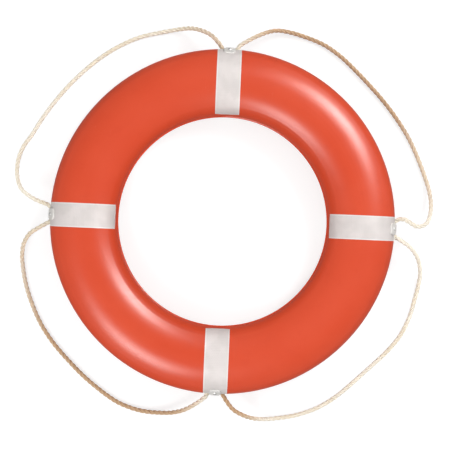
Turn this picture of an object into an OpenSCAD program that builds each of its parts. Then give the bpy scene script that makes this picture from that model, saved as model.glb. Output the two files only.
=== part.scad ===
// Ring lifebuoy with a grab line.
//
// The ring lies flat: its axis is Z, its rear face rests on z = 0 and the axis passes through the
// origin. Two welded half shells hold a foam core. Strips of reflective tape cross both faces at
// four places, and below each of them a moulded anchor on the rim holds the grab line, which
// stands off the rim as four free loops. Each loop swings up about the line through its two ends.
// North is +Y and east is +X.

/* [Ring] */
// Outside diameter of the ring
outer_d = 720; // [700:5:730]
// Diameter of the central opening, without its weld bead
inner_d = 440; // [420:5:450]
// Thickness from the front face to the rear face
ring_t = 100; // [96:1:106]
// Radius of the section's rounding at the rim and at the central opening
end_r = 42; // [38:1:46]
// Width of the flat strip on each face
flat_w = 8; // [6:1:12]
// Wall of the moulded half shells
wall_t = 2.5; // [2:0.25:3]
// Height of the rounded weld bead around the central opening
inner_bead = 2.5; // [1:0.5:4]
// Height of the weld bead around the rim
outer_bead = 0.6; // [0.4:0.1:1]

/* [Reflective tape] */
// Width of the tape
tape_w = 50; // [40:1:50]
// Thickness of the tape
tape_t = 0.4; // [0.3:0.05:0.4]
// Depth of the moulded recess that the tape lies in
tape_recess = 0.6; // [0.6:0.1:1]
// Bare strip between the tape's end and the central opening
tape_end_gap = 2.5; // [1:0.5:8]

/* [Line anchors] */
// Width of an anchor's body along the rim
anchor_w = 50; // [46:1:50]
// Height of an anchor's body
anchor_h = 26; // [22:1:28]
// Depth of an anchor's body below the rim
anchor_depth = 15; // [14:1:20]
// Width of the flange that the screws go through
flange_w = 24; // [20:1:30]
// Height of the flange
flange_h = 60; // [56:1:64]
// Thickness of the flange
flange_t = 2.2; // [1.6:0.2:3]
// Width of the bridge that the line passes behind
bridge_w = 18; // [14:1:20]
// How far the bridge stands out of the rim
bridge_rise = 3.6; // [3:0.2:5]

/* [Screws] */
// Diameter of an anchor screw
screw_d = 4.2; // [3.6:0.1:4.8]
// Length of an anchor screw under its head
screw_l = 16; // [12:1:18]
// Diameter of the screw's head
head_d = 8; // [7:0.2:9]
// Height of the screw's head
head_h = 2.4; // [2:0.1:2.8]

/* [Grab line] */
// Diameter of the line
rope_d = 9.5; // [8:0.5:10]
// Bend of the line behind a bridge, at its middle
bend_r = 20; // [19:0.5:21]
// Angle through which the line turns on each side of the bridge
bend_angle = 60; // [55:1:62]

/* [Plugs] */
// Diameter of the filler plug's head
filler_d = 26; // [22:1:30]
// Diameter of the vent plug's head
vent_d = 14; // [12:1:18]

/* [Hidden] */

$fn = 120;

// Headings of the four sides, as turns about Z from north
NORTH = 0;
EAST = -90;
SOUTH = 180;
WEST = 90;
SIDES = [NORTH, EAST, SOUTH, WEST];

// Cross-section: an oval whose small round ends run smoothly into large crowned faces. Each
// face has a narrow flat strip on its crown.
outer_r = outer_d / 2;
inner_r = inner_d / 2;
mid_r = (outer_r + inner_r) / 2;
mid_z = ring_t / 2;
flat_half = flat_w / 2;
end_offset = (outer_r - inner_r) / 2 - end_r;
rim_centre = mid_r + end_offset;
// The centres of an end and of a crown differ by crown_r - end_r, which fixes the crown's radius
end_drop = mid_z - end_r;
end_run = end_offset - flat_half;
crown_r = end_r + (pow(end_run, 2) + pow(end_drop, 2)) / (2 * end_drop);
crown_low = crown_r - mid_z;
// Share of a crown's radius that lies between its centre and where it meets the end, outwards
end_share = end_run / (crown_r - end_r);

// Clearances: between pieces laid in each other, and the overlap that joins two shapes of one piece
fit_gap = 0.1;
pocket_gap = 0.2;
join = 0.5;
// Reach of the blocks that cut the ring into sectors, well past its surface
reach = 20;

// Weld seam: a thick land inside each shell, with a tongue on the front half
land_depth = 8;
land_half_h = 6;
tongue_w = 2;
tongue_h = 3;
tongue_inset = 3.5;

// Screws stand square to the shell, this far up and down from the seam
screw_tilt = 26;
boss_d = 10;
boss_l = 14;
pilot_gap = 0.05;
clear_gap = 0.6;
slot_w = 1;
slot_l = 4.2;
slot_depth = 1.2;

// Plugs: a flat head sunk in the rear face and a shank in a thick pad inside the shell
plug_head_t = 1.6;
plug_sink = 0.4;
plug_shank_ratio = 0.6;
plug_shank_l = 12;
plug_pad_t = 5;
plug_pad_margin = 3;
FILLER_TURN = -45;
VENT_TURN = 135;

// Grab line behind a bridge: a bend, then a short straight run to the point where a loop swings
rope_r = rope_d / 2;
rope_gap = 0.6;
bend_depth = 7;
bend_centre = outer_r - bend_depth + bend_r;
run_l = 5.5;
hinge_x = bend_r * sin(bend_angle) + run_l * cos(bend_angle);
hinge_y = bend_centre - bend_r * cos(bend_angle) + run_l * sin(bend_angle);
// A loop's solid starts just clear of the rounded end of the bend
swing_gap = 0.3;
loop_gap = rope_r + swing_gap;
ball_angle = 50;
bend_steps = 3;
rope_sides = 10;

// Routes of the four loops, from one anchor to the next. They leave the anchors at the height of
// the seam, sink to the ground in about a hand's width and lie on it round the rim.
ROUTE_NORTHEAST = [
    [hinge_x, hinge_y, mid_z], [44, 384, 47], [67, 397, 37], [91, 407, 22], [115, 409, 11],
    [158, 400, 5], [201, 384, 5], [238, 360, 5], [272, 330, 5], [304, 299, 5], [335, 266, 5],
    [363, 231, 5], [388, 194, 5], [409, 153, 5], [427, 110, 6], [436, 82, 11], [439, 56, 20],
    [436, 31, 32], [427, 13, 39], [408, 7, 45], [390, 16, 49], [379, 21, 50],
    [hinge_y, hinge_x, mid_z]];
ROUTE_SOUTHEAST = [
    [hinge_x, -hinge_y, mid_z], [38, -391, 46], [61, -405, 36], [84, -413, 22], [107, -415, 11],
    [132, -413, 6], [176, -404, 5], [219, -387, 5], [258, -361, 5], [292, -330, 5],
    [325, -298, 5], [358, -265, 5], [387, -228, 5], [406, -186, 5], [417, -142, 5],
    [422, -116, 8], [423, -92, 15], [418, -69, 26], [406, -48, 38], [388, -32, 47],
    [hinge_y, -hinge_x, mid_z]];
ROUTE_SOUTHWEST = [
    [-hinge_x, -hinge_y, mid_z], [-43, -386, 46], [-66, -400, 35], [-90, -408, 21],
    [-114, -411, 11], [-139, -411, 6], [-163, -408, 5], [-205, -394, 5], [-245, -369, 5],
    [-281, -341, 5], [-315, -309, 5], [-346, -276, 5], [-374, -238, 5], [-395, -197, 5],
    [-411, -154, 5], [-420, -111, 8], [-421, -87, 16], [-416, -63, 28], [-403, -43, 41],
    [-386, -31, 48], [-hinge_y, -hinge_x, mid_z]];
ROUTE_NORTHWEST = [
    [-hinge_x, hinge_y, mid_z], [-38, 387, 46], [-60, 399, 36], [-83, 405, 22], [-107, 404, 11],
    [-148, 396, 5], [-192, 384, 5], [-232, 365, 5], [-270, 340, 5], [-305, 310, 5],
    [-337, 277, 5], [-366, 241, 5], [-392, 203, 5], [-414, 165, 5], [-429, 142, 6],
    [-437, 120, 9], [-439, 96, 17], [-435, 72, 29], [-423, 49, 41], [-397, 31, 48],
    [-hinge_y, hinge_x, mid_z]];

// ---- cross-section and the blocks that divide the ring ----

// Outline of the ring's section, grown outwards by a distance, or shrunk if it is negative
module section(grow = 0) {
    half_h = mid_z + grow;
    translate([mid_r - flat_half, mid_z - half_h]) square([flat_w, 2 * half_h]);
    translate([mid_r, mid_z]) for (side = [0, 1]) mirror([side, 0]) {
        translate([end_offset, 0]) circle(r = end_r + grow);
        intersection() {
            intersection_for (face = [0, 1]) mirror([0, face])
                translate([flat_half, -crown_low]) circle(r = crown_r + grow);
            translate([flat_half, -half_h]) square([end_share * (crown_r + grow), 2 * half_h]);
        }
    }
}

module ring_solid(grow = 0) {
    rotate_extrude() section(grow);
}

// Skin of the ring between two distances from its surface
module ring_skin(low, high) {
    difference() {
        ring_solid(high);
        ring_solid(low);
    }
}

// Ring of square section between two radii and two heights
module hoop(r_in, r_out, z_low, z_high) {
    rotate_extrude() translate([r_in, z_low]) square([r_out - r_in, z_high - z_low]);
}

// Everything above the seam, or below it
module half_space(upper) {
    size = outer_d + 4 * reach;
    translate([-size / 2, -size / 2, upper ? mid_z : mid_z - size]) cube(size);
}

// Block on the north side: a width across, from one distance north to the rim, between two heights
module north_block(w, y_low, z_low, z_high) {
    translate([-w / 2, y_low, z_low]) cube([w, outer_r + reach - y_low, z_high - z_low]);
}

// Turns its children from the north side to another side
module at_side(turn) {
    rotate([0, 0, turn]) children();
}

// Stands its children on the north side's shell, their Z square to the surface
module on_rim(tilt) {
    translate([0, rim_centre, mid_z]) rotate([tilt - 90, 0, 0]) children();
}

// ---- shapes that are cut out of, or added to, more than one piece ----

module tape_zone(w, end_gap, low, high) {
    z_low = mid_z + anchor_h / 2 + pocket_gap;
    intersection() {
        ring_skin(low, high);
        north_block(w, inner_r + end_gap, z_low, ring_t + reach);
    }
}

module anchor_opening(gap) {
    north_block(anchor_w + 2 * gap, outer_r - anchor_depth - gap,
        mid_z - anchor_h / 2 - gap, mid_z + anchor_h / 2 + gap);
}

module screw_hole(tilt, d) {
    on_rim(tilt) translate([0, 0, end_r - boss_l - join])
        cylinder(d = d, h = boss_l + flange_t + 2 * join);
}

module screw_boss(tilt, gap = 0) {
    on_rim(tilt) translate([0, 0, end_r - boss_l - gap])
        cylinder(d = boss_d + 2 * gap, h = boss_l - wall_t + join + gap);
}

module seam_lands(gap = 0) {
    z_low = mid_z - land_half_h - gap;
    z_high = mid_z + land_half_h + gap;
    hoop(outer_r - land_depth - gap, outer_r - wall_t + join, z_low, z_high);
    hoop(inner_r + wall_t - join, inner_r + land_depth + gap, z_low, z_high);
}

module seam_tongues(gap = 0) {
    for (r = [outer_r - tongue_inset - tongue_w, inner_r + tongue_inset])
        hoop(r - gap, r + tongue_w + gap, mid_z - tongue_h - gap, mid_z);
}

module weld_beads() {
    rotate_extrude() translate([inner_r, mid_z]) circle(r = inner_bead);
    rotate_extrude() translate([outer_r, mid_z]) circle(r = outer_bead);
}

// Places its children on the rear face, their Z pointing into the ring
module at_plug(turn) {
    rotate([0, 0, turn]) translate([0, mid_r, 0]) children();
}

module plug_shape(d, gap) {
    translate([0, 0, plug_sink - 2 * gap])
        cylinder(d = d + 2 * gap, h = plug_head_t + 2 * gap);
    cylinder(d = d * plug_shank_ratio + 2 * gap, h = plug_sink + plug_shank_l + gap);
}

module plug_pad(d, gap = 0) {
    cylinder(d = d + 2 * plug_pad_margin + 2 * gap, h = plug_pad_t + gap);
}

// Way of the line behind a bridge: the bend and its straight runs, drawn on the north side
module line_way(r, run) {
    translate([0, bend_centre, mid_z]) rotate([0, 0, -90 - bend_angle])
        rotate_extrude(angle = 2 * bend_angle) translate([bend_r, 0]) circle(r = r);
    for (side = [-1, 1])
        translate([side * bend_r * sin(bend_angle), bend_centre - bend_r * cos(bend_angle), mid_z])
            rotate([-90, 0, -side * (90 - bend_angle)]) cylinder(r = r, h = run);
}

// ---- shells, core and plugs ----

// One half of the hollow body, with its lands, bosses and beads
module half_shell(upper) {
    tilt = upper ? screw_tilt : -screw_tilt;
    difference() {
        union() {
            intersection() {
                union() {
                    ring_skin(-wall_t, 0);
                    seam_lands();
                    weld_beads();
                }
                half_space(upper);
            }
            for (turn = SIDES) at_side(turn) screw_boss(tilt);
        }
        for (turn = SIDES) at_side(turn) {
            translate([0, 0, upper ? 0 : ring_t]) mirror([0, 0, upper ? 0 : 1])
                tape_zone(tape_w + 2 * pocket_gap, tape_end_gap - pocket_gap, -tape_recess, reach / 2);
            anchor_opening(pocket_gap);
            screw_hole(tilt, screw_d + pilot_gap);
        }
    }
}

module front_shell() {
    color("orangered") {
        half_shell(true);
        difference() {
            seam_tongues();
            for (turn = SIDES) at_side(turn) anchor_opening(pocket_gap);
        }
    }
}

module rear_shell() {
    color("tomato") difference() {
        union() {
            half_shell(false);
            intersection() {
                ring_solid();
                union() {
                    at_plug(FILLER_TURN) plug_pad(filler_d);
                    at_plug(VENT_TURN) plug_pad(vent_d);
                }
            }
        }
        seam_tongues(fit_gap);
        at_plug(FILLER_TURN) plug_shape(filler_d, pocket_gap);
        at_plug(VENT_TURN) plug_shape(vent_d, pocket_gap);
    }
}

module foam_core() {
    color("khaki") difference() {
        ring_solid(-wall_t - fit_gap);
        seam_lands(fit_gap);
        for (turn = SIDES) at_side(turn) {
            anchor_opening(pocket_gap);
            for (tilt = [-screw_tilt, screw_tilt]) screw_boss(tilt, pocket_gap);
        }
        at_plug(FILLER_TURN) plug_pad(filler_d, pocket_gap);
        at_plug(VENT_TURN) plug_pad(vent_d, pocket_gap);
        at_plug(FILLER_TURN) plug_shape(filler_d, pocket_gap);
        at_plug(VENT_TURN) plug_shape(vent_d, pocket_gap);
    }
}

module filler_plug() {
    color("orangered") at_plug(FILLER_TURN) plug(filler_d);
}

module vent_plug() {
    color("orangered") at_plug(VENT_TURN) plug(vent_d);
}

// A plug's head has a square socket that a key turns
module plug(d) {
    socket = d / 4;
    difference() {
        intersection() {
            plug_shape(d, 0);
            translate([0, 0, plug_sink]) cylinder(d = d, h = plug_shank_l);
        }
        translate([-socket / 2, -socket / 2, 0]) cube([socket, socket, plug_shank_l / 2]);
    }
}

// ---- reflective tape ----

module tape(turn, front) {
    color("gainsboro") at_side(turn) translate([0, 0, front ? 0 : ring_t]) mirror([0, 0, front ? 0 : 1])
        difference() {
            tape_zone(tape_w, tape_end_gap, -fit_gap - tape_t, -fit_gap);
            screw_hole(screw_tilt, screw_d + clear_gap);
        }
}

module front_tape_north() { tape(NORTH, true); }
module front_tape_east() { tape(EAST, true); }
module front_tape_south() { tape(SOUTH, true); }
module front_tape_west() { tape(WEST, true); }
module rear_tape_north() { tape(NORTH, false); }
module rear_tape_east() { tape(EAST, false); }
module rear_tape_south() { tape(SOUTH, false); }
module rear_tape_west() { tape(WEST, false); }

// ---- anchors and their screws ----

// Flange outline with round corners, seen square to the rim
module flange_outline() {
    corner_r = flange_w / 4;
    square([flange_w, flange_h - 2 * corner_r], center = true);
    square([flange_w - 2 * corner_r, flange_h], center = true);
    for (x = [-1, 1], y = [-1, 1])
        translate([x * (flange_w / 2 - corner_r), y * (flange_h / 2 - corner_r)])
            circle(r = corner_r);
}

module anchor(turn) {
    color("white") at_side(turn) difference() {
        union() {
            intersection() {
                ring_solid();
                anchor_opening(0);
            }
            intersection() {
                ring_skin(0, flange_t);
                translate([0, rim_centre, mid_z]) rotate([-90, 0, 0])
                    linear_extrude(end_r + reach) flange_outline();
            }
            intersection() {
                ring_skin(-join, bridge_rise);
                north_block(bridge_w, rim_centre, mid_z - anchor_h / 2, mid_z + anchor_h / 2);
            }
        }
        line_way(rope_r + rope_gap, reach);
        for (tilt = [-screw_tilt, screw_tilt]) screw_hole(tilt, screw_d + clear_gap);
    }
}

module line_anchor_north() { anchor(NORTH); }
module line_anchor_east() { anchor(EAST); }
module line_anchor_south() { anchor(SOUTH); }
module line_anchor_west() { anchor(WEST); }

// A screw with a low domed head and a cross slot, its head's underside at z = 0
module screw() {
    dome_r = (pow(head_d / 2, 2) + pow(head_h, 2)) / (2 * head_h);
    translate([0, 0, -screw_l]) cylinder(d = screw_d, h = screw_l);
    difference() {
        intersection() {
            translate([0, 0, head_h - dome_r]) sphere(r = dome_r);
            cylinder(d = head_d, h = head_h);
        }
        for (turn = [0, 90]) rotate([0, 0, turn])
            translate([-slot_l / 2, -slot_w / 2, head_h - slot_depth])
                cube([slot_l, slot_w, slot_depth + join]);
    }
}

module anchor_screws() {
    color("silver") for (turn = SIDES, tilt = [-screw_tilt, screw_tilt])
        at_side(turn) on_rim(tilt) translate([0, 0, end_r + flange_t]) screw();
}

// ---- grab line ----

function unit(v) = v / norm(v);

function mirrored(p) = [-p[0], p[1], p[2]];

// Moves a route's two ends inwards along its first and last stretch
function shortened(route, gap) =
    let (last = len(route) - 1)
    [for (i = [0:last])
        i == 0 ? route[0] + gap * unit(route[1] - route[0])
        : i == last ? route[last] + gap * unit(route[last - 1] - route[last])
        : route[i]];

// Direction of a route at one of its points
function heading(route, i) =
    unit(route[min(i + 1, len(route) - 1)] - route[max(i - 1, 0)]);

// Ring of points of a radius around a route's point, square to the route
function rope_ring(centre, ahead, r) =
    let (across = unit(cross(ahead, [0, 0, 1])), up = cross(across, ahead))
    [for (k = [0:rope_sides - 1])
        let (a = 360 * k / rope_sides)
        centre + r * (cos(a) * across + sin(a) * up)];

// A tube swept along a path, with its radius at each of the path's points
module tube(path, radii) {
    last = len(path) - 1;
    n = rope_sides;
    points = [for (i = [0:last]) each rope_ring(path[i], heading(path, i), radii[i])];
    walls = [for (i = [0:last - 1], k = [0:n - 1])
        [i * n + k, i * n + (k + 1) % n, (i + 1) * n + (k + 1) % n, (i + 1) * n + k]];
    start_cap = [for (k = [n - 1:-1:0]) k];
    end_cap = [for (k = [0:n - 1]) last * n + k];
    polyhedron(points = points, faces = concat([start_cap], walls, [end_cap]), convexity = 6);
}

// The line behind a bridge. Each end is rounded about the point where a loop swings.
module line_bend(turn) {
    hinge = [hinge_x, hinge_y, mid_z];
    outwards = [cos(bend_angle), sin(bend_angle), 0];
    tip = hinge + rope_r * sin(ball_angle) * outwards;
    arc = [for (a = [-bend_angle:bend_angle / bend_steps:bend_angle])
        [bend_r * sin(a), bend_centre - bend_r * cos(a), mid_z]];
    path = concat([mirrored(tip), mirrored(hinge)], arc, [hinge, tip]);
    tip_r = rope_r * cos(ball_angle);
    radii = [for (i = [0:len(path) - 1]) i == 0 || i == len(path) - 1 ? tip_r : rope_r];
    color("burlywood") at_side(turn) tube(path, radii);
}

module line_bend_north() { line_bend(NORTH); }
module line_bend_east() { line_bend(EAST); }
module line_bend_south() { line_bend(SOUTH); }
module line_bend_west() { line_bend(WEST); }

// A free loop of the line
module line_loop(route) {
    path = shortened(route, loop_gap);
    color("tan") tube(path, [for (point = path) rope_r]);
}

module line_loop_northeast() { line_loop(ROUTE_NORTHEAST); }
module line_loop_southeast() { line_loop(ROUTE_SOUTHEAST); }
module line_loop_southwest() { line_loop(ROUTE_SOUTHWEST); }
module line_loop_northwest() { line_loop(ROUTE_NORTHWEST); }

// ---- assembly ----

front_shell();
rear_shell();
foam_core();
filler_plug();
vent_plug();
front_tape_north();
front_tape_east();
front_tape_south();
front_tape_west();
rear_tape_north();
rear_tape_east();
rear_tape_south();
rear_tape_west();
line_anchor_north();
line_anchor_east();
line_anchor_south();
line_anchor_west();
anchor_screws();
line_bend_north();
line_bend_east();
line_bend_south();
line_bend_west();
line_loop_northeast();
line_loop_southeast();
line_loop_southwest();
line_loop_northwest();
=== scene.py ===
"""A ring lifebuoy with a grab line, seen from straight above on a pale floor.

The ring's frame comes from the CAD model. This script adds the camera and the light, lays the
three-strand line along its route, sticks the reflective tape down and gives each piece its
material. Everything is in metres, in the CAD frame: +Z is the ring's axis and +Y is north.
"""

import math

import bpy
import numpy as np
from mathutils import Matrix, Vector


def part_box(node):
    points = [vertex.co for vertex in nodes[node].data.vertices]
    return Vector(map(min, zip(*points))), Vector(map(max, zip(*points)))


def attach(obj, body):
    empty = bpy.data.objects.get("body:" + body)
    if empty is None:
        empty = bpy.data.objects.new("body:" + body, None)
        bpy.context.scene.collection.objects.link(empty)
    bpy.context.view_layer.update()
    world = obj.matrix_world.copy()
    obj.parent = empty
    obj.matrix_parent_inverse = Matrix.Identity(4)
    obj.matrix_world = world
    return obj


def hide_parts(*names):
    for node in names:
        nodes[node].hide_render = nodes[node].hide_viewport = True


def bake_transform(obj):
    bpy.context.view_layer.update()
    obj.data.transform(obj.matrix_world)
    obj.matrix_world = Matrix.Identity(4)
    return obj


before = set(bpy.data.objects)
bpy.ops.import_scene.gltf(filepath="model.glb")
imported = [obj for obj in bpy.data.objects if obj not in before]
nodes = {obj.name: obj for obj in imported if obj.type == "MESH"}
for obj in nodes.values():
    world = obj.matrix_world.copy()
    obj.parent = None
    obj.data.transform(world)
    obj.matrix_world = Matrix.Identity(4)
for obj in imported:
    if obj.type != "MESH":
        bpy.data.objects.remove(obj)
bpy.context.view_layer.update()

MM = 0.001

# ---- sizes taken from the frame ----

REAR_FACE_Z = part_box("rear_shell")[0].z
FRONT_FACE_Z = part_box("front_shell")[1].z
MID_Z = (REAR_FACE_Z + FRONT_FACE_Z) / 2

# ---- camera ----

CAMERA_ABOVE = 2.5
LENS = 95.7
SENSOR = 36.0
# The ring lies turned this far clockwise in the picture, and a little left of and above its middle
PICTURE_TURN = math.radians(2.5)
CENTRE_LEFT = 0.0054
CENTRE_UP = 0.0073


def make_camera():
    """A long lens that looks straight down."""
    data = bpy.data.cameras.new("camera")
    data.lens = LENS
    data.sensor_width = SENSOR
    camera = bpy.data.objects.new("camera", data)
    bpy.context.scene.collection.objects.link(camera)
    turn = Matrix.Rotation(PICTURE_TURN, 4, "Z")
    camera.location = turn @ Vector((CENTRE_LEFT, -CENTRE_UP, MID_Z + CAMERA_ABOVE))
    camera.rotation_euler = (0, 0, PICTURE_TURN)
    bpy.context.scene.camera = camera


make_camera()

# ---- the line's route, as in the CAD model, in millimetres ----

OUTER_R = 360.0
ROPE_D = 9.5
BEND_R = 20.0
BEND_ANGLE = math.radians(60)
BEND_DEPTH = 7.0
RUN = 5.5
SEAM_Z = MID_Z / MM
BEND_CENTRE = OUTER_R - BEND_DEPTH + BEND_R
HINGE_X = BEND_R * math.sin(BEND_ANGLE) + RUN * math.cos(BEND_ANGLE)
HINGE_Y = BEND_CENTRE - BEND_R * math.cos(BEND_ANGLE) + RUN * math.sin(BEND_ANGLE)

ROUTES = {
    "northeast": [
        (HINGE_X, HINGE_Y, SEAM_Z), (44, 384, 47), (67, 397, 37), (91, 407, 22), (115, 409, 11),
        (158, 400, 5), (201, 384, 5), (238, 360, 5), (272, 330, 5), (304, 299, 5), (335, 266, 5),
        (363, 231, 5), (388, 194, 5), (409, 153, 5), (427, 110, 6), (436, 82, 11), (439, 56, 20),
        (436, 31, 32), (427, 13, 39), (408, 7, 45), (390, 16, 49), (379, 21, 50),
        (HINGE_Y, HINGE_X, SEAM_Z),
    ],
    "southeast": [
        (HINGE_X, -HINGE_Y, SEAM_Z), (38, -391, 46), (61, -405, 36), (84, -413, 22),
        (107, -415, 11), (132, -413, 6), (176, -404, 5), (219, -387, 5), (258, -361, 5),
        (292, -330, 5), (325, -298, 5), (358, -265, 5), (387, -228, 5), (406, -186, 5),
        (417, -142, 5), (422, -116, 8), (423, -92, 15), (418, -69, 26), (406, -48, 38),
        (388, -32, 47), (HINGE_Y, -HINGE_X, SEAM_Z),
    ],
    "southwest": [
        (-HINGE_X, -HINGE_Y, SEAM_Z), (-43, -386, 46), (-66, -400, 35), (-90, -408, 21),
        (-114, -411, 11), (-139, -411, 6), (-163, -408, 5), (-205, -394, 5), (-245, -369, 5),
        (-281, -341, 5), (-315, -309, 5), (-346, -276, 5), (-374, -238, 5), (-395, -197, 5),
        (-411, -154, 5), (-420, -111, 8), (-421, -87, 16), (-416, -63, 28), (-403, -43, 41),
        (-386, -31, 48), (-HINGE_Y, -HINGE_X, SEAM_Z),
    ],
    "northwest": [
        (-HINGE_X, HINGE_Y, SEAM_Z), (-38, 387, 46), (-60, 399, 36), (-83, 405, 22),
        (-107, 404, 11), (-148, 396, 5), (-192, 384, 5), (-232, 365, 5), (-270, 340, 5),
        (-305, 310, 5), (-337, 277, 5), (-366, 241, 5), (-392, 203, 5), (-414, 165, 5),
        (-429, 142, 6), (-437, 120, 9), (-439, 96, 17), (-435, 72, 29), (-423, 49, 41),
        (-397, 31, 48), (-HINGE_Y, HINGE_X, SEAM_Z),
    ],
}
# The anchor that each loop starts from and the one that it runs to, as unit vectors
NORTH, EAST, SOUTH, WEST = (0, 1), (1, 0), (0, -1), (-1, 0)
LOOP_ENDS = {
    "northeast": (NORTH, EAST),
    "southeast": (SOUTH, EAST),
    "southwest": (SOUTH, WEST),
    "northwest": (NORTH, WEST),
}
# Which held bend each loop's piece stands for, so that all four are stood for once
LOOP_BEND = {"northeast": "north", "southeast": "east", "southwest": "south", "northwest": "west"}


def half_bend(side, towards, steps=6):
    """Half of the line's bend behind one anchor, from its middle to the end nearer `towards`."""
    out, along = np.array(side, float), np.array(towards, float)
    points = []
    for angle in np.linspace(0, BEND_ANGLE, steps):
        plan = out * (BEND_CENTRE - BEND_R * math.cos(angle)) + along * BEND_R * math.sin(angle)
        points.append((plan[0], plan[1], SEAM_Z))
    return points


def loop_points(name):
    """A loop's whole route in metres, from the middle of one bend to the middle of the next."""
    start, end = LOOP_ENDS[name]
    first, last = half_bend(start, end), half_bend(end, start)
    return np.array(first + ROUTES[name] + last[::-1]) * MM


def catmull_rom(points, per_span=24):
    """A smooth line through the points, without overshoot where their spacing changes."""
    p = np.vstack([2 * points[0] - points[1], points, 2 * points[-1] - points[-2]])
    knots = np.concatenate([[0], np.cumsum(np.linalg.norm(np.diff(p, axis=0), axis=1) ** 0.5)])
    line = []
    for i in range(1, len(p) - 2):
        k0, k1, k2, k3 = knots[i - 1:i + 3]
        for t in np.linspace(k1, k2, per_span, endpoint=False):
            a = (p[i - 1] * (k1 - t) + p[i] * (t - k0)) / (k1 - k0)
            b = (p[i] * (k2 - t) + p[i + 1] * (t - k1)) / (k2 - k1)
            c = (p[i + 1] * (k3 - t) + p[i + 2] * (t - k2)) / (k3 - k2)
            d = (a * (k2 - t) + b * (t - k0)) / (k2 - k0)
            e = (b * (k3 - t) + c * (t - k1)) / (k3 - k1)
            line.append((d * (k2 - t) + e * (t - k1)) / (k2 - k1))
    return np.array(line + [p[-2]])


def evenly(line, step):
    """The line again, with its points a step apart."""
    along = np.concatenate([[0], np.cumsum(np.linalg.norm(np.diff(line, axis=0), axis=1))])
    at = np.linspace(0, along[-1], round(along[-1] / step) + 1)
    return np.stack([np.interp(at, along, line[:, k]) for k in range(3)], axis=1)


def length_of(line):
    return float(np.linalg.norm(np.diff(line, axis=0), axis=1).sum())


def unit(v):
    return v / np.linalg.norm(v, axis=-1, keepdims=True)


def carried_frame(line):
    """Two directions square to the line at each of its points, that don't twist along it."""
    ahead = unit(np.gradient(line, axis=0))
    across = np.zeros_like(line)
    across[0] = unit(np.cross(ahead[0], (0, 0, 1)))
    for i in range(1, len(line)):
        kept = across[i - 1] - ahead[i] * (across[i - 1] @ ahead[i])
        across[i] = kept / np.linalg.norm(kept)
    return across, np.cross(ahead, across)


def mesh_object(name, points, faces, smooth=True):
    mesh = bpy.data.meshes.new(name)
    mesh.from_pydata([tuple(p) for p in points], [], faces)
    mesh.validate()
    mesh.polygons.foreach_set("use_smooth", [smooth] * len(mesh.polygons))
    piece = bpy.data.objects.new(name, mesh)
    bpy.context.scene.collection.objects.link(piece)
    return piece


# ---- the three-strand line ----

ROPE_R = ROPE_D / 2 * MM
STRANDS = 3
STRAND_R = 0.52 * ROPE_R
STRAND_OFFSET = ROPE_R - STRAND_R
LAY_LENGTH = 3.4 * ROPE_D * MM
YARNS = 9
YARN_POINTS = 4
YARN_DEPTH = 0.10
YARN_SHARPNESS = 1.5
# Two waves in how tight a strand is. Each is an amount and a length in metres, unrelated to the other.
QUICK_SWELL = (0.018, 0.0131)
SLOW_SWELL = (0.014, 0.0373)
# Turn of the yarns inside a strand, against the strands' own, so that they run along the rope
YARN_TURN = ROPE_R / STRAND_R
ROPE_STEP = 1.6 * MM


def rope_mesh(name, line):
    """Three strands laid round a line, each of them a bundle of twisted yarns."""
    across, up = carried_frame(line)
    along = np.arange(len(line)) * length_of(line) / (len(line) - 1)
    section = YARNS * YARN_POINTS
    turn = np.linspace(0, 2 * math.pi, section, endpoint=False)
    points, faces = [], []
    for strand in range(STRANDS):
        phase = 2 * math.pi * (along / LAY_LENGTH + strand / STRANDS)
        swell = 1 + QUICK_SWELL[0] * np.sin(along / QUICK_SWELL[1] + strand)
        swell = swell + SLOW_SWELL[0] * np.sin(along / SLOW_SWELL[1] + 2 * strand)
        out = np.cos(phase)[:, None] * across + np.sin(phase)[:, None] * up
        side = -np.sin(phase)[:, None] * across + np.cos(phase)[:, None] * up
        yarn = np.abs(np.cos(YARNS / 2 * (turn[None, :] + YARN_TURN * phase[:, None])))
        radius = STRAND_R * swell[:, None] * (1 - YARN_DEPTH * (1 - yarn) ** YARN_SHARPNESS)
        reach = radius * np.cos(turn)
        width = radius * np.sin(turn)
        rings = (
            line[:, None, :]
            + (STRAND_OFFSET + reach)[:, :, None] * out[:, None, :]
            + width[:, :, None] * side[:, None, :]
        )
        base = len(points)
        points.extend(rings.reshape(-1, 3))
        rows = len(line)
        for i in range(rows - 1):
            for k in range(section):
                a = base + i * section + k
                b = base + i * section + (k + 1) % section
                faces.append((a, b, b + section, a + section))
        faces.append([base + k for k in range(section)][::-1])
        faces.append([base + (rows - 1) * section + k for k in range(section)])
    return mesh_object(name, points, faces)


# Height of the line's middle where it lies on the ground
GROUND_Z = 5.0 * MM


def make_loop(name):
    """One free loop of the line, from the middle of one anchor to the middle of the next."""
    line = evenly(catmull_rom(loop_points(name)), ROPE_STEP)
    line[:, 2] = np.maximum(line[:, 2], GROUND_Z)
    piece = rope_mesh("grab_line_" + name, line)
    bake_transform(piece)
    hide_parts("line_loop_" + name, "line_bend_" + LOOP_BEND[name])
    return piece


loops = [make_loop(name) for name in ROUTES]

# ---- reflective tape ----

TAPE_W = 50.0
TAPE_T = 0.4
# How deep the tape's outer side lies below the shell's surface
TAPE_SINK = 0.1
# Bare strip between the tape's end and the central opening, and how high above the seam it ends
TAPE_END_GAP = 2.5
TAPE_Z = 13.2
TAPE_COLUMNS = 41
# The attribute that keeps where each point of the tape lay before it was bent
FLAT_PLACE = "flat_place"
SIDES = {"north": NORTH, "east": EAST, "south": SOUTH, "west": WEST}

# The ring's section, in millimetres: round ends that run into crowned faces with a flat strip
MID_R = 290.0
END_R = 42.0
END_OFFSET = 28.0
CROWN_R = 82.0
CROWN_LOW = 32.0
FLAT_HALF = 4.0
END_ANGLE = math.acos((END_OFFSET - FLAT_HALF) / (CROWN_R - END_R))


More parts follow.
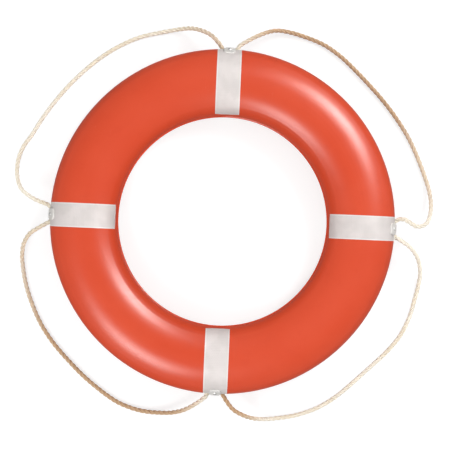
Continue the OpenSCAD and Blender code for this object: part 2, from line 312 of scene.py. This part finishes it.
def section_side(start, stop, side, step=1.2):
    """The section between two angles above level, on its outer side (1) or its inner side (-1).

    Each row is a radius, a height above the seam and the outward direction there.
    """
    arcs = (
        (start, END_ANGLE, END_OFFSET, 0, END_R),
        (END_ANGLE, stop, FLAT_HALF, -CROWN_LOW, CROWN_R),
    )
    rows = []
    for low, high, centre, height, radius in arcs:
        for a in np.linspace(low, high, round((high - low) * radius / step), endpoint=False):
            across, up = math.cos(a), math.sin(a)
            rows.append((
                MID_R + side * (centre + radius * across), height + radius * up, side * across, up
            ))
    return rows


def section_line(start, stop):
    """The front half of the section, from an angle above level on the inner side to the outer."""
    top = math.pi / 2
    crown = [(MID_R + t, SEAM_Z, 0, 1) for t in np.linspace(-FLAT_HALF, FLAT_HALF, 7)]
    return np.array(section_side(start, top, -1) + crown + section_side(stop, top, 1)[::-1])


PUCKERS_A_SIDE = 5
RIPPLES = 4
WAVE = 0.03


def tape_lift(across, along, rng):
    """How far the tape stands off its bed, in millimetres.

    It puckers at its edges on the rim, and ripples near its end at the opening.
    """
    edge = np.clip((np.abs(across) - 0.55) / 0.45, 0, 1) ** 1.5
    on_rim = np.clip((along - 0.58) / 0.2, 0, 1) * np.clip((1.0 - along) / 0.04, 0, 1)
    inside = np.clip((0.36 - along) / 0.2, 0, 1) * np.clip(along / 0.05, 0, 1)
    lift = np.zeros(np.broadcast(across, along).shape)
    for side in (-1, 1):
        for _ in range(PUCKERS_A_SIDE):
            at = rng.uniform(0.62, 0.97)
            width = rng.uniform(0.006, 0.012)
            high = rng.uniform(0.12, 0.32)
            near = np.clip(side * across, 0, 1) > 0
            lean = rng.uniform(-0.04, 0.04)
            lift += near * edge * on_rim * high * np.exp(-((along - at - lean * across) / width) ** 2)
    for _ in range(RIPPLES):
        at = rng.uniform(-0.5, 0.5)
        width = rng.uniform(0.03, 0.07)
        high = rng.uniform(0.05, 0.12)
        lean = rng.uniform(-0.6, 0.6)
        lift += inside * high * np.exp(-((across - at - lean * along) / width) ** 2)
    lift += WAVE * np.sin(9 * across + 14 * along + rng.uniform(0, 6)) * np.sin(23 * along)
    return lift


def length_along(rows):
    """How far along an outline each of its points lies."""
    return np.concatenate([[0], np.cumsum(np.linalg.norm(np.diff(rows, axis=0), axis=1))])


def store_flat_place(piece, across, along):
    """Keeps where each point lay on the flat tape, and how far that is from the tape's edge."""
    u, v = np.meshgrid(across, along)
    from_side = across.max() - np.abs(u)
    from_end = np.minimum(v, along[-1] - v)
    flat = np.stack([u, v, np.minimum(from_side, from_end)], axis=2).reshape(-1, 3) * MM
    store = piece.data.attributes.new(FLAT_PLACE, "FLOAT_VECTOR", "POINT")
    store.data.foreach_set("vector", np.concatenate([flat, flat]).ravel())


def make_tape(name, side, front, seed):
    """One strip of tape, bedded in the shell's recess."""
    rng = np.random.default_rng(seed)
    start = math.acos(1 - TAPE_END_GAP / END_R)
    stop = math.asin(TAPE_Z / END_R)
    rows = section_line(start, stop)
    columns = np.linspace(-1, 1, TAPE_COLUMNS)
    along = np.linspace(0, 1, len(rows))[:, None]
    lift = tape_lift(columns[None, :], along, rng)
    out, right = np.array(side, float), np.array((side[1], -side[0]), float)
    flip = 1 if front else -1
    layers = []
    for top in (True, False):
        high = -TAPE_SINK + (lift if top else lift - TAPE_T)
        radius = rows[:, 0:1] + high * rows[:, 2:3]
        height = rows[:, 1:2] + high * rows[:, 3:4]
        x = np.broadcast_to(columns[None, :] * TAPE_W / 2, radius.shape)
        y = np.sqrt(radius ** 2 - x ** 2)
        plan = x[..., None] * right + y[..., None] * out
        z = SEAM_Z + flip * height
        layers.append(np.concatenate([plan, z[..., None]], axis=2) * MM)
    n, m = layers[0].shape[:2]
    points = np.concatenate([layer.reshape(-1, 3) for layer in layers])
    faces = []
    for i in range(n - 1):
        for j in range(m - 1):
            a = i * m + j
            quad = (a, a + 1, a + m + 1, a + m)
            faces.append(quad)
            faces.append(tuple(n * m + k for k in quad[::-1]))
    border = (
        list(range(m))
        + [i * m + m - 1 for i in range(1, n)]
        + [(n - 1) * m + j for j in range(m - 2, -1, -1)]
        + [i * m for i in range(n - 2, 0, -1)]
    )
    for k, a in enumerate(border):
        b = border[(k + 1) % len(border)]
        faces.append((b, a, n * m + a, n * m + b))
    if flip < 0:
        faces = [face[::-1] for face in faces]
    piece = mesh_object(name, points, faces)
    keep_corners(piece)
    store_flat_place(piece, columns * TAPE_W / 2, length_along(rows[:, :2]))
    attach(piece, "ring")
    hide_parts(name.replace("_sheet", ""))
    return piece


def keep_corners(piece, angle=math.radians(40)):
    """Keeps a piece's sharp corners sharp where its faces are smoothed."""
    piece.data.set_sharp_from_angle(angle=angle)


tapes = []
for count, (label, side) in enumerate(SIDES.items()):
    for face, front in (("front", True), ("rear", False)):
        tapes.append(make_tape(f"{face}_tape_{label}_sheet", side, front, seed=10 * count + front))

# ---- materials ----


def add(tree, kind, values=(), **sockets):
    """A new shader node. Values are its settings, and sockets are numbers or links into it."""
    node = tree.nodes.new("ShaderNode" + kind)
    for key, value in dict(values).items():
        setattr(node, key, value)
    for key, value in sockets.items():
        connect(tree, node.inputs[key.replace("_", " ")], value)
    return node


def connect(tree, socket, value):
    if isinstance(value, bpy.types.NodeSocket):
        tree.links.new(value, socket)
    elif isinstance(value, bpy.types.Node):
        tree.links.new(value.outputs[0], socket)
    else:
        socket.default_value = value


def math_node(tree, operation, *values):
    node = tree.nodes.new("ShaderNodeMath")
    node.operation = operation
    for socket, value in zip(node.inputs, values):
        connect(tree, socket, value)
    return node


def noise(tree, place, size, detail=3.0, roughness=0.55):
    """Noise whose lumps are about this many metres across."""
    node = add(tree, "TexNoise", Vector=place, Scale=1 / size, Detail=detail, Roughness=roughness)
    return node.outputs["Fac"]


def ramp(tree, value, low, high, to_low=0.0, to_high=1.0):
    """The value taken from one range to another, held at its ends."""
    node = add(
        tree, "MapRange", {"interpolation_type": "SMOOTHSTEP"}, Value=value,
        From_Min=low, From_Max=high, To_Min=to_low, To_Max=to_high,
    )
    return node.outputs["Result"]


def blend_colour(tree, amount, first, second, kind="MIX"):
    node = tree.nodes.new("ShaderNodeMix")
    node.data_type = "RGBA"
    node.blend_type = kind
    connect(tree, node.inputs["Factor"], amount)
    connect(tree, node.inputs[6], first)
    connect(tree, node.inputs[7], second)
    return node.outputs[2]


def bump(tree, height, deep, normal=None, strength=1.0):
    node = add(tree, "Bump", Height=height, Distance=deep, Strength=strength)
    if normal is not None:
        tree.links.new(normal, node.inputs["Normal"])
    return node.outputs["Normal"]


def stretched(tree, place, scale, turn=(0.0, 0.0, 0.0)):
    node = add(tree, "Mapping", Vector=place, Scale=scale, Rotation=turn)
    return node.outputs["Vector"]


def new_material(name):
    """A material, its node tree, its surface shader and its place in metres."""
    material = bpy.data.materials.new(name)
    material.use_nodes = True
    tree = material.node_tree
    surface = tree.nodes["Principled BSDF"]
    place = add(tree, "TexCoord").outputs["Object"]
    return material, tree, surface, place


ORANGE = (0.640, 0.057, 0.0140, 1)
ORANGE_WORN = (0.660, 0.066, 0.020, 1)
ORANGE_DEEP = (0.560, 0.042, 0.010, 1)
TAPE_GREY = (0.610, 0.560, 0.540, 1)
TAPE_CELL = (0.665, 0.610, 0.590, 1)
TAPE_WALL = (0.80, 0.77, 0.75, 1)
TAPE_SOIL = (0.47, 0.44, 0.41, 1)
WHITE_PLASTIC = (0.70, 0.68, 0.655, 1)
WHITE_YELLOWED = (0.63, 0.58, 0.51, 1)
LINE_PALE = (0.90, 0.84, 0.72, 1)
LINE_CREAM = (0.84, 0.75, 0.58, 1)
LINE_TAN = (0.52, 0.37, 0.23, 1)
# A darker tan, painted as shade on the northeast and southwest loops and darkening the other two near
# their anchors
LINE_DARK_TAN = (0.53, 0.315, 0.155, 1)
STEEL = (0.62, 0.61, 0.60, 1)
FOAM = (0.75, 0.68, 0.48, 1)
FOAM_PALE = (0.82, 0.77, 0.62, 1)
ORANGE_SCUFFED = (0.80, 0.30, 0.20, 1)

SHELL_IOR = 1.38
# Sizes of what the moulded shell's surface shows, in metres
FADE_SIZE = 0.16
MOTTLE_SIZE = 0.03
PATCH_SIZE = 0.05
GRAIN_SIZE = 0.0035


def orange_plastic(name, roughness, deep=0.0):
    """Moulded polyethylene: a satin skin, a little faded and scuffed. A deep one is darker."""
    material, tree, surface, place = new_material(name)
    fade = noise(tree, place, FADE_SIZE, 2.0)
    mottle = ramp(tree, noise(tree, place, MOTTLE_SIZE, 4.0), 0.50, 0.75, deep, deep + 0.15)
    colour = blend_colour(tree, ramp(tree, fade, 0.35, 0.70), ORANGE, ORANGE_WORN)
    colour = blend_colour(tree, mottle, colour, ORANGE_DEEP)
    # Fine scratches in two directions, in patches only
    one_way = noise(tree, stretched(tree, place, (30, 900, 900), (0, 0, 0.6)), 1.0, 2.0)
    other_way = noise(tree, stretched(tree, place, (700, 26, 700), (0, 0, -0.5)), 1.0, 2.0)
    patches = ramp(tree, noise(tree, place, PATCH_SIZE, 2.0), 0.55, 0.70)
    one_way = ramp(tree, one_way, 0.68, 0.76)
    other_way = ramp(tree, other_way, 0.70, 0.78)
    scuffs = math_node(tree, "MAXIMUM", one_way, other_way)
    scuffs = math_node(tree, "MULTIPLY", scuffs, patches)
    colour = blend_colour(tree, math_node(tree, "MULTIPLY", scuffs, 0.25), colour, ORANGE_SCUFFED)
    tree.links.new(colour, surface.inputs["Base Color"])
    grain = noise(tree, place, GRAIN_SIZE, 3.0)
    rough = ramp(tree, grain, 0.3, 0.7, roughness - 0.03, roughness + 0.04)
    rough = math_node(tree, "ADD", rough, math_node(tree, "MULTIPLY", scuffs, 0.15))
    tree.links.new(rough.outputs[0], surface.inputs["Roughness"])
    surface.inputs["IOR"].default_value = SHELL_IOR
    normal = bump(tree, noise(tree, place, PATCH_SIZE, 2.0), 0.0002)
    normal = bump(tree, grain, 0.00006, normal)
    normal = bump(tree, scuffs, 0.00003, normal)
    tree.links.new(normal, surface.inputs["Normal"])
    return material


TAPE_CELL_SIZE = 4.0 * MM
TAPE_BORDER = 2.2 * MM
TAPE_BORDER_SOFT = 0.3 * MM


def vector_math(tree, operation, *values):
    node = tree.nodes.new("ShaderNodeVectorMath")
    node.operation = operation
    for socket, value in zip(node.inputs, values):
        connect(tree, socket, value)
    return node.outputs["Value" if operation == "LENGTH" else "Vector"]


def honeycomb(tree, place, cell):
    """How near a point is to the middle of its six-sided cell (0) or to the cell's wall (0.5)."""
    pitch = (1.0, math.sqrt(3), 1.0)
    half = tuple(size / 2 for size in pitch)
    scaled = vector_math(tree, "MULTIPLY", place, (1 / cell, 1 / cell, 0))
    lattices = []
    for shift in ((0, 0, 0), half):
        moved = vector_math(tree, "ADD", scaled, shift)
        wrapped = vector_math(tree, "WRAP", moved, pitch, (0, 0, 0))
        lattices.append(vector_math(tree, "SUBTRACT", wrapped, half))
    lengths = [vector_math(tree, "LENGTH", lattice) for lattice in lattices]
    second_nearer = math_node(tree, "GREATER_THAN", *lengths)
    nearest = tree.nodes.new("ShaderNodeMix")
    nearest.data_type = "VECTOR"
    connect(tree, nearest.inputs["Factor"], second_nearer)
    connect(tree, nearest.inputs[4], lattices[0])
    connect(tree, nearest.inputs[5], lattices[1])
    away = vector_math(tree, "ABSOLUTE", nearest.outputs[1])
    axes = add(tree, "SeparateXYZ", Vector=away)
    slant = math_node(tree, "MULTIPLY", axes.outputs["X"], 0.5)
    slant = math_node(tree, "MULTIPLY_ADD", axes.outputs["Y"], math.sqrt(3) / 2, slant)
    return math_node(tree, "MAXIMUM", axes.outputs["X"], slant).outputs[0]


def tape_material():
    """Retroreflective tape: six-sided cells under a clear film, sealed and paler at its edges."""
    material, tree, surface, place = new_material("tape_retroreflective")
    flat = add(tree, "Attribute", {"attribute_name": FLAT_PLACE}).outputs["Vector"]
    from_edge = add(tree, "SeparateXYZ", Vector=flat).outputs["Z"]
    inner, outer = TAPE_BORDER + TAPE_BORDER_SOFT, TAPE_BORDER - TAPE_BORDER_SOFT
    border = ramp(tree, from_edge, outer, inner, 1, 0)
    wall = ramp(tree, honeycomb(tree, flat, TAPE_CELL_SIZE), 0.42, 0.47)
    wall = math_node(tree, "MAXIMUM", wall, border).outputs[0]
    sheen = noise(tree, place, 0.03, 2.0)
    colour = blend_colour(tree, ramp(tree, sheen, 0.35, 0.65), TAPE_GREY, TAPE_CELL)
    colour = blend_colour(tree, math_node(tree, "MULTIPLY", wall, 0.22), colour, TAPE_WALL)
    colour = blend_colour(tree, math_node(tree, "MULTIPLY", border, 0.5), colour, TAPE_WALL)
    soil = ramp(tree, noise(tree, place, 0.009, 5.0), 0.58, 0.80, 0, 0.35)
    colour = blend_colour(tree, soil, colour, TAPE_SOIL)
    tree.links.new(colour, surface.inputs["Base Color"])
    rough = ramp(tree, noise(tree, place, 0.006, 3.0), 0.3, 0.7, 0.40, 0.52)
    tree.links.new(rough, surface.inputs["Roughness"])
    surface.inputs["Metallic"].default_value = 0.06
    normal = bump(tree, wall, 0.00005)
    normal = bump(tree, noise(tree, place, 0.014, 2.0), 0.0002, normal)
    tree.links.new(normal, surface.inputs["Normal"])
    return material


EDGE_ROUNDING = 0.8 * MM
EDGE_SAMPLES = 8


def white_plastic(name):
    """Moulded white plastic, a little yellowed and rubbed, with its edges softly rounded."""
    material, tree, surface, place = new_material(name)
    yellowed = ramp(tree, noise(tree, place, 0.02, 4.0), 0.4, 0.8, 0, 0.5)
    colour = blend_colour(tree, yellowed, WHITE_PLASTIC, WHITE_YELLOWED)
    tree.links.new(colour, surface.inputs["Base Color"])
    rough = ramp(tree, noise(tree, place, 0.004, 3.0), 0.3, 0.7, 0.38, 0.50)
    tree.links.new(rough, surface.inputs["Roughness"])
    edges = tree.nodes.new("ShaderNodeBevel")
    edges.samples = EDGE_SAMPLES
    edges.inputs["Radius"].default_value = EDGE_ROUNDING
    normal = bump(tree, noise(tree, place, 0.0012, 3.0), 0.00004, edges.outputs["Normal"])
    tree.links.new(normal, surface.inputs["Normal"])
    return material


def rope_material():
    """Laid natural-coloured line: fine fibres along the yarns, weathered in places, with painted shade
    on two loops.
    """
    material, tree, surface, place = new_material("line_laid")
    weather = ramp(tree, noise(tree, place, 0.07, 3.0), 0.35, 0.70)
    fibres = noise(tree, place, 0.0006, 4.0, 0.7)
    colour = blend_colour(tree, weather, LINE_PALE, LINE_CREAM)
    # Painted shade darkens the northeast and southwest loops, less so towards the east and west
    # anchors.
    # The other two are pale, and darker where they leave the north anchor and, more so, the south.
    # The product of a point's x and y is positive on the first two loops and negative on the others.
    axes = add(tree, "SeparateXYZ", Vector=place)
    quarter = math_node(tree, "MULTIPLY", axes.outputs["X"], axes.outputs["Y"])
    sideways = math_node(tree, "ABSOLUTE", axes.outputs["X"])
    # Painted shade on the northeast and southwest loops, weaker towards the east and west anchors
    painted_shade = ramp(tree, quarter, 0.0, 0.04, 0, 0.90)
    painted_shade = math_node(tree, "MULTIPLY", painted_shade, ramp(tree, sideways, 0.35, 0.43, 1, 0.4))
    darker_near_anchors = ramp(tree, quarter, -0.006, 0.0, 1, 0)
    darker_near_anchors = math_node(tree, "MULTIPLY", darker_near_anchors, ramp(tree, sideways, 0.04, 0.12, 1, 0))
    southward = ramp(tree, axes.outputs["Y"], -0.1, 0.1, 0.95, 0.50)
    darker_near_anchors = math_node(tree, "MULTIPLY", darker_near_anchors, southward)
    colour = blend_colour(tree, math_node(tree, "MAXIMUM", painted_shade, darker_near_anchors), colour, LINE_DARK_TAN)
    colour = blend_colour(tree, ramp(tree, fibres, 0.45, 0.75, 0, 0.32), colour, LINE_TAN)
    tree.links.new(colour, surface.inputs["Base Color"])
    surface.inputs["Roughness"].default_value = 0.85
    surface.inputs["Sheen Weight"].default_value = 0.25
    normal = bump(tree, fibres, 0.00025)
    tree.links.new(normal, surface.inputs["Normal"])
    return material


def steel_material():
    """Stainless steel, finely brushed."""
    material, tree, surface, place = new_material("screw_steel")
    surface.inputs["Base Color"].default_value = STEEL
    surface.inputs["Metallic"].default_value = 1.0
    brushed = noise(tree, stretched(tree, place, (4000, 4000, 400)), 1.0, 3.0)
    tree.links.new(ramp(tree, brushed, 0.3, 0.7, 0.22, 0.40), surface.inputs["Roughness"])
    tree.links.new(bump(tree, brushed, 0.00001), surface.inputs["Normal"])
    return material


FOAM_CELL = 0.0012


def foam_material():
    """Closed-cell foam, hidden inside the shells."""
    material, tree, surface, place = new_material("core_foam")
    cells = add(tree, "TexVoronoi", Vector=place, Scale=1 / FOAM_CELL).outputs["Distance"]
    colour = blend_colour(tree, ramp(tree, cells, 0.1, 0.7), FOAM, FOAM_PALE)
    tree.links.new(colour, surface.inputs["Base Color"])
    surface.inputs["Roughness"].default_value = 0.9
    tree.links.new(bump(tree, cells, 0.0003), surface.inputs["Normal"])
    return material


def dress(piece, material):
    piece.data.materials.clear()
    piece.data.materials.append(material)


orange = orange_plastic("shell_orange", 0.34)
orange_plug = orange_plastic("plug_orange", 0.38, deep=0.8)
white = white_plastic("anchor_white")
silver = tape_material()
laid = rope_material()
for label in ("front_shell", "rear_shell"):
    dress(nodes[label], orange)
for label in ("filler_plug", "vent_plug"):
    dress(nodes[label], orange_plug)
dress(nodes["foam_core"], foam_material())
dress(nodes["anchor_screws"], steel_material())
for label in SIDES:
    dress(nodes["line_anchor_" + label], white)
for piece in tapes:
    dress(piece, silver)
for piece in loops:
    dress(piece, laid)

# ---- floor and light ----

# The paper's brightness, and its own glow, as on a light table. The glow hides most of the ring's
# shadow and fades with the distance, so that far away the paper is as bright as the world behind it.
FLOOR_TONE = 0.45
GLOW_NEAR = 0.66
GLOW_FAR = 0.36
GLOW_FADES = (0.8, 3.0)
FLOOR_HALF = 20.0


def make_floor():
    """A large sheet of matt white paper."""
    corners = [(x * FLOOR_HALF, y * FLOOR_HALF, 0) for x, y in ((-1, -1), (1, -1), (1, 1), (-1, 1))]
    floor = mesh_object("floor", corners, [(0, 1, 2, 3)], smooth=False)
    material, tree, surface, place = new_material("floor_paper")
    tone = ramp(tree, noise(tree, place, 0.4, 2.0), 0.3, 0.7, FLOOR_TONE - 0.01, FLOOR_TONE + 0.01)
    colour = add(tree, "CombineColor", Red=tone, Green=tone, Blue=tone)
    tree.links.new(colour.outputs[0], surface.inputs["Base Color"])
    surface.inputs["Roughness"].default_value = 0.9
    surface.inputs["Specular IOR Level"].default_value = 0.1
    surface.inputs["Emission Color"].default_value = (1, 1, 1, 1)
    glow = ramp(tree, vector_math(tree, "LENGTH", place), *GLOW_FADES, GLOW_NEAR, GLOW_FAR)
    tree.links.new(glow, surface.inputs["Emission Strength"])
    dress(floor, material)
    # The floor doesn't light the ring from below, so the ring's lower edges stay dark
    floor.visible_diffuse = False
    floor.visible_glossy = False
    floor.visible_shadow = False


def make_lamp(name, azimuth, elevation, distance, width, height, radiance, only_shine=False):
    """A soft box that faces the ring. Its azimuth is counted from east, its elevation from level.

    One that is only shine adds highlights and no other light.
    """
    data = bpy.data.lights.new(name, "AREA")
    data.shape = "RECTANGLE"
    data.size = width
    data.size_y = height
    data.energy = radiance * math.pi * width * height
    lamp = bpy.data.objects.new(name, data)
    level = math.cos(elevation) * distance
    lamp.location = (
        level * math.cos(azimuth),
        level * math.sin(azimuth),
        MID_Z + math.sin(elevation) * distance,
    )
    aim = Vector((0, 0, MID_Z)) - lamp.location
    lamp.rotation_euler = aim.to_track_quat("-Z", "Y").to_euler()
    lamp.visible_diffuse = not only_shine
    bpy.context.scene.collection.objects.link(lamp)


WORLD_ABOVE = 0.65
WORLD_BELOW = 0.25
# Between these heights of a direction the world goes over from its lower to its upper brightness
HORIZON = (-0.3, -0.06)


def make_world(above, below):
    """Even light from above, and a dimmer one from below the horizon."""
    world = bpy.data.worlds.new("studio")
    world.use_nodes = True
    tree = world.node_tree
    background = tree.nodes["Background"]
    background.inputs["Color"].default_value = (1, 1, 1, 1)
    axes = add(tree, "SeparateXYZ", Vector=add(tree, "TexCoord").outputs["Generated"])
    strength = ramp(tree, axes.outputs["Z"], *HORIZON, below, above)
    tree.links.new(strength, background.inputs["Strength"])
    bpy.context.scene.world = world


make_floor()
make_world(WORLD_ABOVE, WORLD_BELOW)
UPPER_RIGHT = PICTURE_TURN + math.radians(41)
LOWER_LEFT = PICTURE_TURN + math.radians(236)
KEY_UP = math.radians(39)
FILL_UP = math.radians(43)
LAMP_FAR = 3.1
LAMP_SIZE = (1.15, 1.15)
KEY_LIGHT = 10.6
FILL_LIGHT = 8.3
KEY_SHINE = 37.0
FILL_SHINE = 16.0
make_lamp("key", UPPER_RIGHT, KEY_UP, LAMP_FAR, *LAMP_SIZE, KEY_LIGHT)
make_lamp("fill", LOWER_LEFT, FILL_UP, LAMP_FAR, *LAMP_SIZE, FILL_LIGHT)
make_lamp("key_shine", UPPER_RIGHT, KEY_UP, LAMP_FAR, *LAMP_SIZE, KEY_SHINE, only_shine=True)
make_lamp("fill_shine", LOWER_LEFT, FILL_UP, LAMP_FAR, *LAMP_SIZE, FILL_SHINE, only_shine=True)
bpy.context.scene.view_settings.view_transform = "Standard"
